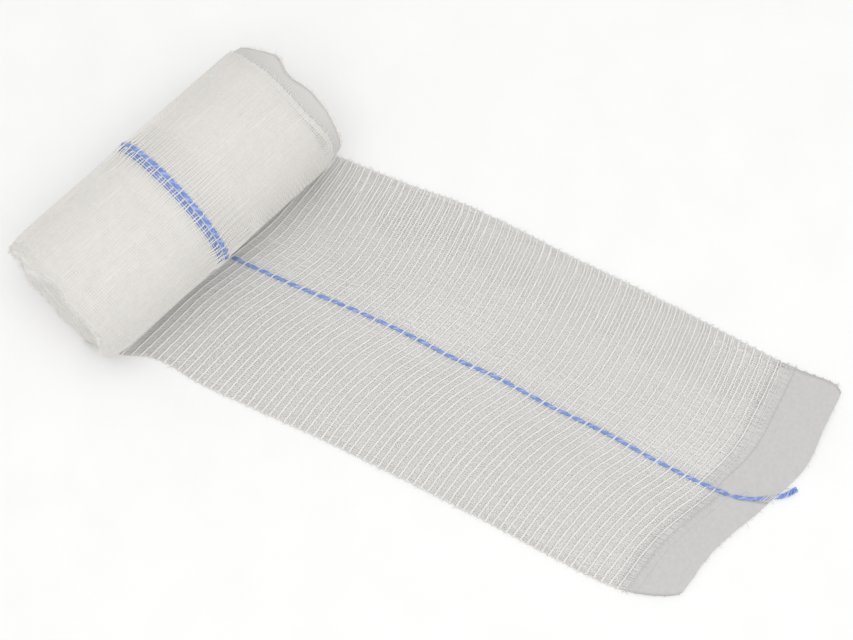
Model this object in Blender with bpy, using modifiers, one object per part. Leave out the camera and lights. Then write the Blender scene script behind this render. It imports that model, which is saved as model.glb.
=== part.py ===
"""A partly unrolled roll of gauze.

One long woven band is wound into a roll whose axis runs along Y. Its free end leaves the
roll at the bottom and lies flat towards +X, drifting sideways towards +Y. A coloured
marker thread runs along the middle of the band and shows on both of its faces.
"""

import math

import bmesh
import bpy
import numpy as np
from mathutils import Vector

# The gauze band
BAND_WIDTH = 0.075
BAND_THICKNESS = 0.0010
CUT_END_SETBACK = 0.009
CORNER_ROUNDING = 0.006

# The wound roll
ROLL_RADIUS = 0.0207
CORE_RADIUS = 0.0030
WINDING_GAP = 0.0003
RIM_BULGE = 0.0050
FACETS_PER_TURN = 36

# The free tail, measured from the roll's axis
TAIL_REACH = 0.163
TAIL_SWING = 0.0574
TAIL_ROW_SPACING = 0.0052
SWELL_HEIGHT = 0.0016
FLAT_UNDER_ROLL = 0.014

# The marker thread
MARKER_WIDTH = 0.0011
MARKER_THICKNESS = 0.0005
MARKER_CLEARANCE = 0.0003
MARKER_FREE_END = 0.0035
MARKER_FREE_DRIFT = 0.007
MARKER_FIRST_FACET = 3
MARKER_LAST_FACET = 31

# The tail from the roll's axis to the cut end. Along is a share of TAIL_REACH, middle is
# the sideways drift of the marker line as a share of TAIL_SWING, near and far are the
# distances from that line to the two long edges as shares of BAND_WIDTH, and swell is
# the height of the low waves as a share of SWELL_HEIGHT.
TAIL_TABLE = (
    # along, middle, near, far, swell
    (0.000, 0.000, 0.468, 0.505, 0.00),
    (0.090, 0.077, 0.505, 0.535, 0.10),
    (0.200, 0.190, 0.497, 0.545, 0.70),
    (0.300, 0.298, 0.503, 0.560, 0.90),
    (0.410, 0.418, 0.507, 0.548, 0.50),
    (0.520, 0.515, 0.500, 0.541, 0.80),
    (0.620, 0.602, 0.496, 0.541, 1.00),
    (0.720, 0.696, 0.500, 0.532, 0.60),
    (0.820, 0.785, 0.503, 0.524, 0.40),
    (0.925, 0.889, 0.503, 0.515, 0.50),
    (1.000, 1.000, 0.497, 0.505, 0.30),
)

# The band across its width. Across is 0 at the near edge, 1 at the marker line and 2 at
# the far edge, wave is the share of the swell that reaches there, and setback is how far
# the cut end stands back there as a share of CUT_END_SETBACK.
WIDTH_TABLE = (
    # across, wave, setback
    (0.00, 0.30, 0.45),
    (0.35, 0.80, 0.42),
    (0.70, 0.35, 0.34),
    (1.00, 0.10, 0.22),
    (1.40, 0.45, 0.14),
    (1.74, 1.00, 0.58),
    (2.00, 0.20, 1.00),
)

# How far the turns stand out past the outermost rim. Depth runs from 0 at the outermost
# turn to 1 at the core, and the two ends are shares of RIM_BULGE.
RIM_TABLE = (
    # depth, near_end, far_end
    (0.00, 0.00, 0.00),
    (0.10, 0.60, 0.75),
    (0.30, 0.80, 0.95),
    (0.55, 0.65, 0.80),
    (0.80, 0.10, 0.35),
    (1.00, -0.60, -0.20),
)

GAUZE_COLOUR = (0.80, 0.79, 0.76, 1.0)
MARKER_COLOUR = (0.06, 0.13, 0.62, 1.0)

FACET_ANGLE = 2.0 * math.pi / FACETS_PER_TURN
TURN_PITCH = BAND_THICKNESS + WINDING_GAP
OUTER_TURN_RADIUS = ROLL_RADIUS - BAND_THICKNESS / 2.0
CORE_TURN_RADIUS = CORE_RADIUS + BAND_THICKNESS / 2.0
FACETS_IN_ROLL = int((OUTER_TURN_RADIUS - CORE_TURN_RADIUS) / TURN_PITCH * FACETS_PER_TURN)
AXIS_HEIGHT = BAND_THICKNESS / 2.0 + OUTER_TURN_RADIUS * math.cos(FACET_ANGLE / 2.0)
COLUMNS = len(WIDTH_TABLE)
ROWS_AT_CUT_END = (1.0, 0.72, 0.45, 0.2)
MARKER_FREE_ROWS = (1.0, 0.66, 0.33)


def clear_scene():
    for obj in list(bpy.data.objects):
        bpy.data.objects.remove(obj, do_unlink=True)


def plain_material(name, colour, roughness):
    material = bpy.data.materials.new(name)
    material.use_nodes = True
    shader = material.node_tree.nodes["Principled BSDF"]
    shader.inputs["Base Color"].default_value = colour
    shader.inputs["Roughness"].default_value = roughness
    shader.inputs["Metallic"].default_value = 0.0
    material.diffuse_color = colour
    return material


def smooth_reading(table, column, at):
    """Read a table column at a place between its rows, on a smooth curve."""
    places = np.array([row[0] for row in table])
    values = np.array([row[column] for row in table])
    slopes = np.gradient(values, places)
    at = min(max(at, places[0]), places[-1])
    left = min(int(np.searchsorted(places, at, side="right")) - 1, len(places) - 2)
    span = places[left + 1] - places[left]
    t = (at - places[left]) / span
    start = values[left] * (2 * t**3 - 3 * t**2 + 1) + slopes[left] * span * (t**3 - 2 * t**2 + t)
    end = values[left + 1] * (3 * t**2 - 2 * t**3) + slopes[left + 1] * span * (t**3 - t**2)
    return start + end


def ease(share):
    """Rise smoothly from 0 to 1."""
    share = min(max(share, 0.0), 1.0)
    return share * share * (3.0 - 2.0 * share)


def side_reach(across, near, far):
    """Distance from the marker line, given the reach of the two edges."""
    if across < 1.0:
        return -near * (1.0 - across)
    return far * (across - 1.0)


def tail_positions():
    """Distances from the roll's axis at which the tail has a row, cut end first."""
    end = TAIL_REACH
    near_end = [end - CORNER_ROUNDING * (1.0 - share) for share in ROWS_AT_CUT_END]
    start = -OUTER_TURN_RADIUS * math.sin(FACET_ANGLE / 2.0)
    plain_length = end - CORNER_ROUNDING - start
    count = max(4, round(plain_length / TAIL_ROW_SPACING))
    plain = [start + plain_length * (count - step) / count for step in range(count)]
    return near_end + plain


def tail_point(distance, across):
    """A point of the tail's middle surface."""
    along = distance / TAIL_REACH
    near = smooth_reading(TAIL_TABLE, 2, along) * BAND_WIDTH
    far = smooth_reading(TAIL_TABLE, 3, along) * BAND_WIDTH
    from_corner = (distance - (TAIL_REACH - CORNER_ROUNDING)) / CORNER_ROUNDING
    inset = CORNER_ROUNDING * (1.0 - math.sqrt(1.0 - min(max(from_corner, 0.0), 1.0) ** 2))
    near -= inset
    far -= inset * 0.5
    y = marker_line(distance) + side_reach(across, near, far)
    setback = smooth_reading(WIDTH_TABLE, 2, across) * CUT_END_SETBACK * ease(along)
    rise = ease((distance - FLAT_UNDER_ROLL) / FLAT_UNDER_ROLL)
    wave = smooth_reading(TAIL_TABLE, 4, along) * smooth_reading(WIDTH_TABLE, 1, across)
    z = BAND_THICKNESS / 2.0 + SWELL_HEIGHT * max(wave, 0.0) * rise
    return Vector((distance - setback, y, z))


def marker_line(distance):
    """Where the marker thread runs across the tail."""
    middle_on_roll = BAND_WIDTH * (TAIL_TABLE[0][2] - TAIL_TABLE[0][3]) / 2.0
    return middle_on_roll + TAIL_SWING * smooth_reading(TAIL_TABLE, 1, distance / TAIL_REACH)


def roll_point(facet, across, lift=0.0):
    """A point of the roll's middle surface, raised outwards by lift."""
    radius = OUTER_TURN_RADIUS - TURN_PITCH * facet / FACETS_PER_TURN
    angle = -math.pi / 2.0 - FACET_ANGLE * (facet + 0.5)
    depth = (OUTER_TURN_RADIUS - radius) / (OUTER_TURN_RADIUS - CORE_TURN_RADIUS)
    near = TAIL_TABLE[0][2] * BAND_WIDTH + smooth_reading(RIM_TABLE, 1, depth) * RIM_BULGE
    far = TAIL_TABLE[0][3] * BAND_WIDTH + smooth_reading(RIM_TABLE, 2, depth) * RIM_BULGE
    raised = radius + lift / math.cos(FACET_ANGLE / 2.0)
    y = marker_line(0.0) + side_reach(across, near, far)
    return Vector((raised * math.cos(angle), y, AXIS_HEIGHT + raised * math.sin(angle)))


def walled_sheet(name, rows, columns, place, thickness, material):
    """Bend a flat grid into shape and give it a wall of even thickness."""
    grid = bmesh.new()
    bmesh.ops.create_grid(grid, x_segments=rows - 1, y_segments=columns - 1, size=1.0)
    for vert in grid.verts:
        row = round((vert.co.x + 1.0) / 2.0 * (rows - 1))
        column = round((vert.co.y + 1.0) / 2.0 * (columns - 1))
        vert.co = place(row, column)
    mesh = bpy.data.meshes.new(name)
    grid.to_mesh(mesh)
    grid.free()
    mesh.shade_smooth()
    mesh.materials.append(material)
    obj = bpy.data.objects.new(name, mesh)
    wall = obj.modifiers.new("wall", "SOLIDIFY")
    wall.thickness = thickness
    wall.offset = 0.0
    wall.use_even_offset = True
    wall.use_quality_normals = True
    return obj


def gauze_band(material):
    """The whole band: the tail from its cut end, then every turn down to the core."""
    positions = tail_positions()

    def place(row, column):
        across = WIDTH_TABLE[column][0]
        if row < len(positions):
            return tail_point(positions[row], across)
        return roll_point(row - len(positions), across)

    rows = len(positions) + FACETS_IN_ROLL + 1
    return walled_sheet("gauze_band", rows, COLUMNS, place, BAND_THICKNESS, material)


def marker_lift():
    return BAND_THICKNESS / 2.0 + MARKER_CLEARANCE + MARKER_THICKNESS / 2.0


def marker_thread_tail(material):
    """The marker thread on the tail's upper face, with its end poking past the cut."""
    clear_of_roll = math.sqrt(ROLL_RADIUS**2 - (AXIS_HEIGHT - 3.0 * marker_lift()) ** 2)
    line = [tail_point(at, 1.0) for at in tail_positions() if at > clear_of_roll]
    line = [free_end_point(line[0], share) for share in MARKER_FREE_ROWS] + line

    def place(row, column):
        before = line[max(row - 1, 0)]
        after = line[min(row + 1, len(line) - 1)]
        sideways = Vector((after.y - before.y, before.x - after.x, 0.0)).normalized()
        lift = Vector((0.0, 0.0, marker_lift()))
        return line[row] + sideways * (column - 0.5) * MARKER_WIDTH + lift

    return walled_sheet("marker_thread_tail", len(line), 2, place, MARKER_THICKNESS, material)


def free_end_point(cut, share):
    """A point of the marker's free end, which bends sideways past the cut end."""
    return cut + Vector((MARKER_FREE_END * share, MARKER_FREE_DRIFT * share**2, 0.0))


def marker_thread_roll(material):
    """The marker thread round the outermost turn, clear of the tail and the ground."""

    def place(row, column):
        side = (column - 0.5) * MARKER_WIDTH
        return roll_point(MARKER_FIRST_FACET + row, 1.0, marker_lift()) + Vector((0.0, side, 0.0))

    rows = MARKER_LAST_FACET - MARKER_FIRST_FACET + 1
    return walled_sheet("marker_thread_roll", rows, 2, place, MARKER_THICKNESS, material)


def stand_on_origin(parts):
    """Move all parts so that the origin is under the middle of them, on the ground."""
    bpy.context.view_layer.update()
    depsgraph = bpy.context.evaluated_depsgraph_get()
    meshes = [part.evaluated_get(depsgraph).data for part in parts]
    points = np.array([tuple(vert.co) for mesh in meshes for vert in mesh.vertices])
    low = points.min(axis=0)
    high = points.max(axis=0)
    for part in parts:
        part.location = (-(low[0] + high[0]) / 2.0, -(low[1] + high[1]) / 2.0, -low[2])


def main():
    clear_scene()
    collection = bpy.data.collections.new("gauze_strip")
    bpy.context.scene.collection.children.link(collection)
    gauze = plain_material("gauze", GAUZE_COLOUR, 0.95)
    marker = plain_material("marker_thread", MARKER_COLOUR, 0.85)
    parts = [gauze_band(gauze), marker_thread_tail(marker), marker_thread_roll(marker)]
    for part in parts:
        collection.objects.link(part)
    stand_on_origin(parts)


main()
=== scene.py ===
"""Looks of a partly unrolled gauze bandage.

Every yarn of the free tail and of the outermost turn is modelled as a woven thread. The
turns below it are one wound sheet, and a blue marker thread runs along the middle.
Wefts are the yarns across the band, warps the yarns along it. Side 0 is the near half of
the band and side 1 the far half, and values for both are given in that order. Lengths are
in metres and angles in radians.
"""

import math

import bpy
import numpy as np
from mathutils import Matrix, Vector


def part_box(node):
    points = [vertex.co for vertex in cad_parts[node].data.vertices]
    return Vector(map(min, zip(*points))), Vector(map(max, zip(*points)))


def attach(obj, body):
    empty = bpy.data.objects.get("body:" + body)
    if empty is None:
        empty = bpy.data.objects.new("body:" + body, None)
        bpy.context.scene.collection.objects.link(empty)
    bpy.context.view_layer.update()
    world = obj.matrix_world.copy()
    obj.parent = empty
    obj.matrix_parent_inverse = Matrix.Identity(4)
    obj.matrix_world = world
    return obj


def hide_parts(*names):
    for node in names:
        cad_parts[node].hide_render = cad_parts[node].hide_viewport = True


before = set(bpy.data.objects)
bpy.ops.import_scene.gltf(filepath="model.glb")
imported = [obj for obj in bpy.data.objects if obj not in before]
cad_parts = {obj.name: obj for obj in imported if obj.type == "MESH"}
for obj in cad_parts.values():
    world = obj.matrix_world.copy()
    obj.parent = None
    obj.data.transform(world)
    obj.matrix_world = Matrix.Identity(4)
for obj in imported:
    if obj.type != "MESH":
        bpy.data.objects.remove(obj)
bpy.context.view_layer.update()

FULL_TURN = 2.0 * math.pi

# The camera, about the point where the roll touches the table
VIEW_AZIMUTH = math.radians(45.46)
VIEW_ELEVATION = math.radians(72.0)
VIEW_DISTANCE = 0.55
VIEW_TARGET = Vector((0.0662, 0.0252, 0.010))
LENS_MM = 89.4
SENSOR_MM = 36.0

# The light and the table
ROOM_STRENGTH = 0.68
LAMP_SIZE = 0.9
LAMP_POWER = 5.0
LAMP_PLACE = (0.20, -0.12, 1.0)
TABLE_SIZE = 3.0

# The finishes
SHEEN_ROUGHNESS = 0.6
SPECULAR_LEVEL = 0.2
CLOTH_ROUGHNESS = 0.95
TABLE_ROUGHNESS = 0.9
GAUZE_SHEEN = 0.25
LAYER_SHEEN = 0.3
MARKER_SHEEN = 0.1
YARN_BUMP = (0.35, 0.00005)
LAYER_BUMP = (0.5, 0.0001)
LAYER_WARP_PITCH = 0.00058
WAVE_UNITS = 20.0
TABLE_TONES = ((0.93, 0.93, 0.925), (0.95, 0.95, 0.945))
LAYER_TONES = ((0.80, 0.782, 0.75), (0.92, 0.90, 0.865))
YARN_TONES = {
    "tail_weft": ((0.82, 0.805, 0.785), (0.88, 0.865, 0.845)),
    # painted shade: the tail's warps are the same white cotton as its wefts, made duller for lying lower
    # in the wefts' shade
    "tail_warp_shaded": ((0.74, 0.725, 0.70), (0.82, 0.805, 0.78)),
    "roll_weft": ((0.89, 0.868, 0.835), (0.94, 0.918, 0.885)),
    "roll_warp": ((0.89, 0.868, 0.835), (0.94, 0.918, 0.885)),
}
MARKER_TONES = {
    "marker_yarn": ((0.16, 0.27, 0.62), (0.30, 0.41, 0.76)),
    "marker_pale_yarn": ((0.28, 0.38, 0.72), (0.46, 0.54, 0.84)),
}

# The band. Places across it run from 0 at the near edge over 1 at the marker line to 2 at
# the far edge, and MEAN_REACH is how far the edges are from that line, in band widths.
BAND_WIDTH = 0.075
HALF_WIDTH = 0.5 * BAND_WIDTH
MEAN_REACH = (0.500, 0.545)
EDGES = (0.0, 2.0)
OUTWARD = (-1.0, 1.0)
TAIL_REACH = 0.163
TAIL_SWING = 0.0574
SWELL_HEIGHT = 0.0016
FLAT_UNDER_ROLL = 0.014
LAY_HEIGHT = 0.00040
CUT_END_SETBACK = 0.009
NEAR_CORNER_RUN = 0.013
NEAR_CORNER_INSET = 0.0044
FAR_CORNER_RUN = 0.006
FAR_CORNER_INSET = 0.0036
FAR_EDGE_TRIM = 0.0009

# Stretches of the tail over which the wefts' lean grows and the line of the cut takes over
LEAN_STARTS_OVER = 0.030
LEAN_GROWS_FROM = 0.030
LEAN_GROWS_OVER = 0.035
CUT_LINE_FROM = 0.026
CUT_LINE_RUN = 0.022

# The cut end, where the weave has closed up into a smooth sheet. CLOSING_FROM is how far
# before the end it begins, and the painted shade values and CLOSED_SHEET_AT are shares of the
# closing. The closed end is darkened with painted shade: a grey tint that stands in for the
# shaded table which shows through the gaps of the open weave.
CLOSING_FROM = (0.0155, 0.0185)
CLOSING_RUN = 0.0110
# painted shade: the grey that the closed end is darkened towards
CLOSED_END_PAINTED_SHADE = (0.68, 0.68, 0.69)
CLOSED_SHADE_FROM = 0.12
CLOSED_SHADE_RUN = 0.45
# painted shade that the closed sheet already has where it starts
CLOSED_SHEET_PAINTED_SHADE = 0.60
CLOSED_SHEET_AT = 0.05
CLOSED_SHEET_STEPS = 31
CLOSED_SHEET_CROWDING = 1.8
CLOSED_SHEET_SHORT = 0.0001
CLOSED_SHEET_LOW = -0.00020
CLOSED_SHEET_HIGH = 0.00015
CLOSED_SHEET_THICKNESS = 0.00006

# The roll
ROLL_OUTSIDE = 0.02038
OUTER_TURN_RADIUS = 0.01995
LAYER_PITCH = 0.00042
LAYER_THICKNESS = 0.00038
CORE_RADIUS = 0.0014
AXIS_HEIGHT = LAY_HEIGHT + OUTER_TURN_RADIUS
LAYER_FACETS = 40
LAYER_SHARES = (0.0, 0.012, 0.03, 0.055, 0.10, 0.5, 0.90, 0.945, 0.97, 0.988, 1.0)

# The roll's two soft ends. A wander is its wavelength in radians and its size.
SHOULDER_WIDTH = 0.0065
NEAR_SHOULDER_DROP = 0.0008
FAR_SHOULDER_DROP = 0.0010
SHOULDER_LUMPS = 0.0004
SHOULDER_MOST = 1.2
SHOULDER_STARTS_OVER = 0.9
LUMP_HARMONICS = (2.0, 3.0, 5.0, 8.0)
LUMP_HEIGHT = 1.5
FOLD_WAVELENGTHS = (0.0140, 0.0100, 0.0075, 0.0055, 0.0042)
FOLD_STEEPNESS = 0.026
FAR_FOLD_SHARE = 0.25
RIM_SETTLES_OVER = 1.2
GOES_UNDER_AT = 5.3
GOES_UNDER_OVER = 1.2
END_DEPTH = 0.00035
END_FACE_JOINING = 0.8
END_FACE_STEPS = (97, 25)
END_FACE_CORE = 0.1
END_FACE_INSIDE = 1.5
RIM_WANDER = (7.0, 0.00025)
OUTER_NEAR_WANDER = (5.0, 0.00025)
OUTER_FAR_WANDER = (3.1, 0.00030)
OUTER_RIM_NEAR = 0.0036
OUTER_RIM_FAR = -0.0010

# The random draws, and the waves that a wander is made of
WANDER_HARMONICS = (1.0, 1.7, 2.9)
WANDER_PEAK = 1.5
RIM_SEEDS = (41, 42)
OUTER_RIM_SEEDS = (43, 44)
FOLD_SEEDS = (46, 49)
LUMP_SEEDS = (47, 48)
FRAY_SEED = 71
RIM_FIBRE_SEED = 77
WARP_WANDER_SEED = 300
WARP_SEED = 333
EDGE_FIBRE_SEED = 500
CREASE_SEED = 640
WEFT_SEED = 810
WEFT_WANDER_SEED = 7000
WEFT_SWELLING_SEED = 9100

# The wefts
WEFT_RADIUS = 0.00025
NEAR_EDGE_SWELLING = 0.28
ROLL_WEFT_RADIUS = 0.00016
CUT_WEFT_RADIUS = 0.00011
CREASE_WEFT_RADIUS = 0.00015
WEFT_PITCH = 0.00197
WEFT_PITCH_ROLL = 0.00205
WEFT_LIFT = 0.00010
WEFT_WAVE = 0.00003
RIB_SINK = 0.00020
RIB_MIDDLE = 1.04
RIB_REACH = 0.26
WEFT_WANDER = 0.00010
WEFT_WANDER_LENGTH = 0.9
WEFT_JITTER = 0.00004
WEFT_UNEVEN = 0.12
WEFT_UNEVEN_LENGTH = 0.35
ROLL_SLACK = 2.0
UNDER_SLACK = 1.5
CLOSED_CALM = 0.8
STUB_WANDER = 0.0003
STUB_TURN = 5.0
LAST_WEFT_SHORT = 0.0004
UNDER_CLEARANCE = 0.01
UNDER_NUMBERS = 200
STUB_TAPER = 0.7
EDGE_STUB = 0.0004
THREAD_SIDES = 4
CREASE_FROM = (1.58, 1.70)
CREASE_SLANT = (-0.0012, 0.0004)
CREASE_JITTER = 0.00006
CREASE_HEIGHTS = (0.00010, 0.00004)
CREASE_POINTS = 15
CREASE_FADES_AT = 0.4

# The warps
NEAR_WARPS = 62
FAR_WARPS = 68
SELVEDGE_WARPS = 4
SELVEDGE_SPACING = 0.5
WARP_RADIUS = 0.00013
ROLL_WARP_RADIUS = 0.00013
WARP_WAVE = 0.00015
WARP_WAVE_ON_ROLL = 0.00014
WARP_WANDER = 0.00008
WARP_WANDER_LENGTH = 0.045
WARP_CLOSING_SHIFT = 0.0022
CLOSED_WARP_DEPTH = 0.00008
CLOSED_WARP_THINNING = 0.35

# The marker thread and how the wefts cross it
MARKER_RADIUS = 0.00050
MARKER_RADIUS_ON_ROLL = 0.00064
MARKER_STEPS = 6
MARKER_FLOAT = 0.5
MARKER_WAVE = 0.00025
MARKER_RISE = 0.00018
MARKER_WAVE_ON_ROLL = 0.00006
INNER_MARKER_WAVE = 0.00007
OVER_MARKER = 0.00046
UNDER_MARKER = 0.00012
CROSSING_ON_ROLL = 0.00060
LEAVING_TABLE = 0.008
BESIDE_ON_ROLL = 0.00042
UNDER_BESIDE = 0.0001
MARKER_PLIES = 3
MARKER_PALE_PLY = 1
MARKER_TWIST = 0.0030
PLY_SIDES = 6
PLY_SPREAD = (0.52, 0.24)
PLY_RADIUS = 0.55
PLY_FLATTEN = 0.72

# The loose fibres. Length is in metres, and lean, curl and rise are shares of it.
FIBRE_RADIUS = 0.00005
RIM_FIBRE_RADIUS = 0.00008
FIBRE_LENGTH = (0.0004, 0.0012)
FIBRE_LEAN = (-1.1, 1.1)
FIBRE_CURL = (-0.9, 0.9)
FIBRE_RISE = (-0.15, 0.35)
FIBRE_ROOT = -0.25
FIBRE_RINGS = 4
FIBRE_TIP = 0.6
EDGE_FIBRES = (60, 110)
EDGE_FIBRES_FROM = 0.012
EDGE_FIBRES_SHORT = 0.002
CUT_FIBRES = 14
CUT_FIBRES_FROM = 0.04
LOOK_AHEAD = 0.001
RIM_FIBRE_SPAN = (0.02, 0.98)
RIM_FIBRES = (
    # turn, count at each end
    (0.0, 210),
    (1.0, 300),
    (2.0, 120),
    (4.0, 50),
    (8.0, 40),
)

# White yarns of the cut end that lie over the marker's loose end, by where they cross it.
FRAY_PLACES = (0.1553, 0.1591, 0.1597, 0.1603, 0.1608, 0.1613)
FRAY_LENGTH = (0.0010, 0.0018)
FRAY_LEAN = 0.25
FRAY_LEAN_SPREAD = 0.2
FRAY_ARCH = 0.0005
FRAY_POINTS = 7
FRAY_THICKNESS = (0.6, 1.0)

# How a weft of the roll comes down from the marker it crosses, on each side: its share of
# the crossing's lift at the next warp, then the warp where it settles and its lift there.
CROSSING_TABLE = (
    # beside, settling_warp, settling
    (0.85, 5, 0.7),
    (0.75, 2, 0.6),
)

# Wefts of the turns just under the outermost, which show between its own: their places as
# a share of the pitch, how deep they lie and how far they keep from the marker.
UNDER_WEFTS = (
    # share, depth, gap beside the marker
    (0.38, 0.00002, 0.0009),
    (0.69, 0.00008, 0.0085),
)

# The inner turns' marker threads, which show through the outermost turn beside its own:
# how far each lies to the near side, how deep, how thick, and its shift along the roll as
# a share of the wefts' pitch.
INNER_MARKERS = (
    # aside, depth, radius, phase
    (0.00112, -0.00012, 0.00023, 0.05),
    (0.00168, -0.00008, 0.00020, 0.30),
    (0.00224, -0.00004, 0.00016, 0.12),
)
INNER_MARKER_SPREAD = 0.0028

# How the layered gauze is tinted across the roll: bluish over the inner turns' marker threads,
# slightly greyer towards the near end and beside the far side of the marker, and darker on the
# strip of inner turns past the outer turn's far rim, which is painted shade.
LAYER_TINTS_AND_SHADE = (
    # side, red, green, blue
    (-0.0450, 0.97, 0.97, 0.97),
    (-0.0060, 1.00, 1.00, 1.00),
    (-0.0031, 0.93, 0.94, 0.96),
    (-0.0024, 0.80, 0.84, 0.95),
    (-0.0008, 0.76, 0.81, 0.95),
    (0.0006, 0.86, 0.87, 0.90),
    (0.0022, 0.86, 0.86, 0.86),
    (0.0050, 0.90, 0.90, 0.90),
    (0.0100, 1.00, 1.00, 1.00),
    (0.0355, 1.00, 1.00, 1.00),
    # painted shade on the strip past the outer turn's far rim, from here to the far end
    (0.0366, 0.68, 0.68, 0.69),
    (0.0390, 0.72, 0.72, 0.72),
    (0.0450, 0.80, 0.80, 0.80),
)
TINT_SPAN = 0.0450

# The marker's loose end past the last few wefts, from the roll's place on the table: where
# it leaves the weave, frays and is pinched thin under the white yarns.
MARKER_LOOSE_FROM = 0.1550
MARKER_FRAY_FROM = 0.1614
MARKER_FRAY_RUN = 0.002
MARKER_FRAY_SPREAD = 0.9
MARKER_LOOSE_STEPS = 5
MARKER_PINCH_AT = 0.1606
MARKER_PINCH_RUN = 0.0006
MARKER_PINCH = 0.75
MARKER_LOOSE_END = (
    # along, across, height
    (0.1571, 0.0528, 0.0008),
    (0.1595, 0.0555, 0.0009),
    (0.1621, 0.0587, 0.0008),
    (0.1630, 0.0608, 0.0007),
    (0.1636, 0.0632, 0.0006),
)

# Along is a share of TAIL_REACH, middle is the drift of the marker line as a share of
# TAIL_SWING, near and far are the reach of the edges as shares of BAND_WIDTH, and swell
# is a share of SWELL_HEIGHT.
TAIL_TABLE = (
    # along, middle, near, far, swell
    (0.000, 0.000, 0.468, 0.505, 0.00),
    (0.090, 0.077, 0.524, 0.535, 0.10),
    (0.125, 0.112, 0.487, 0.538, 0.25),
    (0.160, 0.150, 0.486, 0.541, 0.45),
    (0.200, 0.190, 0.497, 0.545, 0.70),
    (0.300, 0.298, 0.503, 0.560, 0.90),
    (0.410, 0.418, 0.507, 0.548, 0.50),
    (0.520, 0.515, 0.500, 0.541, 0.80),
    (0.620, 0.602, 0.496, 0.541, 1.00),
    (0.720, 0.696, 0.500, 0.532, 0.60),
    (0.820, 0.785, 0.503, 0.524, 0.40),
    (0.925, 0.889, 0.503, 0.515, 0.50),
    (1.000, 1.000, 0.497, 0.505, 0.30),
)

# Across is 0 at the near edge, 1 at the marker line and 2 at the far edge. Wave is the
# share of the swell there, and setback is how far the cut end stands back as a share of
# CUT_END_SETBACK.
WIDTH_TABLE = (
    # across, wave, setback
    (0.00, 0.30, 0.17),
    (0.12, 0.45, 0.24),
    (0.35, 0.80, 0.37),
    (0.52, 0.60, 0.36),
    (0.70, 0.35, 0.31),
    (0.85, 0.20, 0.25),
    (1.00, 0.10, 0.22),
    (1.40, 0.45, 0.19),
    (1.74, 1.00, 0.63),
    (2.00, 0.20, 0.94),
)

# The marker thread wanders a little from the line that the edges follow.
MARKER_TABLE = (
    # distance, aside
    (0.000, 0.00000),
    (0.030, -0.00055),
    (0.048, -0.00013),
    (0.060, -0.00045),
    (0.075, -0.00100),
    (0.088, -0.00025),
    (0.105, -0.00070),
    (0.122, -0.00070),
    (0.132, -0.00120),
    (0.148, -0.00143),
    (0.154, -0.00175),
    (0.161, -0.00080),
)
MARKER_PULL = 0.25

# Lean is how far a weft runs along the band for each step across it, out on the tail and
# close to the roll.
LEAN_TABLE = (
    # across, lean, lean_by_roll
    (0.00, -0.18, -0.07),
    (0.20, -0.12, -0.05),
    (0.35, -0.06, -0.06),
    (0.50, -0.01, -0.05),
    (0.65, 0.06, 0.08),
    (0.80, 0.19, 0.16),
    (0.94, 0.15, 0.11),
    (1.06, -0.05, 0.13),
    (1.20, -0.03, 0.10),
    (1.35, -0.19, -0.13),
    (1.55, -0.25, -0.22),
    (1.74, -0.33, -0.25),
    (1.88, -0.36, -0.28),
    (2.00, -0.52, -0.40),
)

# How far the wound turns stand out past the ends of the band where it leaves the roll.
RIM_TABLE = (
    # depth, near_end, far_end
    (0.00, 0.0037, 0.0027),
    (0.10, 0.0041, 0.0034),
    (0.30, 0.0040, 0.0034),
    (0.55, 0.0034, 0.0026),
    (0.80, 0.0022, 0.0012),
    (1.00, 0.0008, -0.0006),
)

# Dents in the roll's two soft ends: x, height, reach across and depth.
NEAR_DENTS = (
    # x, z, width, depth
    (0.0085, 0.0140, 0.0040, 0.0012),
    (0.0070, 0.0080, 0.0042, 0.0036),
    (0.0075, 0.0012, 0.0034, -0.0014),
    (0.0180, 0.0120, 0.0050, 0.0014),
    (0.0200, 0.0190, 0.0050, -0.0006),
    (-0.0040, 0.0240, 0.0030, 0.0016),
    (-0.0085, 0.0300, 0.0035, -0.0009),
    (0.0020, 0.0330, 0.0026, 0.0009),
    (-0.0135, 0.0210, 0.0026, 0.0010),
)
OUTER_FAR_DENTS = (
    # x, z, width, depth
    (0.0180, 0.0270, 0.0080, -0.0022),
)
FAR_DENTS = (
    # x, z, width, depth
    (-0.0165, 0.0310, 0.0060, 0.0012),
    (-0.0060, 0.0393, 0.0048, -0.0021),
    (0.0015, 0.0403, 0.0022, 0.0008),
    (0.0085, 0.0385, 0.0045, -0.0011),
    (0.0140, 0.0340, 0.0062, -0.0013),
    (0.0185, 0.0285, 0.0040, -0.0006),
    (0.0197, 0.0230, 0.0040, -0.0009),
    (-0.0060, 0.0120, 0.0035, 0.0020),
)


def place_of_roll():
    """The point on the table under the roll's axis and halfway along its outermost turn."""
    ring_low, ring_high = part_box("marker_thread_roll")
    band_low, band_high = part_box("gauze_band")
    half_difference = BAND_WIDTH * (TAIL_TABLE[0][3] - TAIL_TABLE[0][2]) / 2.0
    middle = (ring_low[1] + ring_high[1]) / 2.0 + half_difference
    return np.array((band_low[0] + ROLL_OUTSIDE, middle, band_low[2]))


ROLL_PLACE = place_of_roll()


def reading(table, column, at):
    """Read a table column at places between its rows, on a smooth curve."""
    rows = np.array(table)
    places = rows[:, 0]
    values = rows[:, column]
    slopes = np.gradient(values, places)
    at = np.clip(at, places[0], places[-1])
    left = np.clip(np.searchsorted(places, at, side="right") - 1, 0, len(places) - 2)
    span = places[left + 1] - places[left]
    t = (at - places[left]) / span
    rising = 3.0 * t**2 - 2.0 * t**3
    start = values[left] * (1.0 - rising) + slopes[left] * span * (t**3 - 2.0 * t**2 + t)
    return start + values[left + 1] * rising + slopes[left + 1] * span * (t**3 - t**2)


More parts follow.
